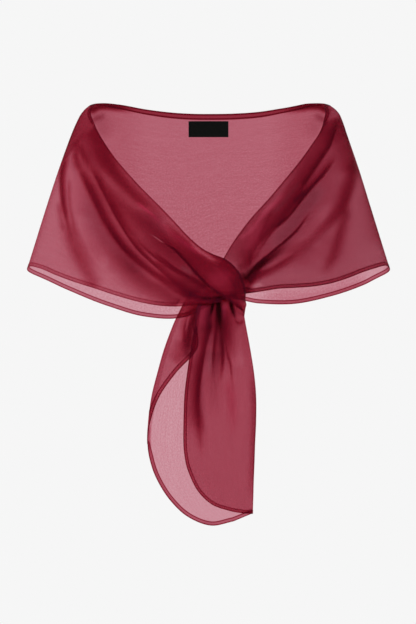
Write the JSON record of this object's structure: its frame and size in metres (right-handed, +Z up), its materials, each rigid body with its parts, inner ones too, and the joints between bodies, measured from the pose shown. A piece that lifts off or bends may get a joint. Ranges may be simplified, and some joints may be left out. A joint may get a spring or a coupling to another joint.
{
  "type": "evening stole",
  "caption": "Sheer organza stole worn round the shoulders: both fronts cross at a knot under a smooth band, and one gathered tail hangs from it.",
  "frame": {"origin": "midway between the wearer's shoulders, at shoulder level, on the mount wearer_shoulders", "axes": "+Z up, -Y the way the wearer faces, +X the wearer's left"},
  "size_m": [0.5264, 0.2878, 0.6126],
  "materials": {
    "organza": "sheer crisp organza with a soft sheen",
    "label": "black woven satin, no lettering"
  },
  "bodies": {
    "root": {"back_panel": "organza", "right_front": "organza", "left_front": "organza", "cross_band": "organza", "tail": "organza", "tail_flap": "organza", "label": "label"}
  },
  "joints": []
}
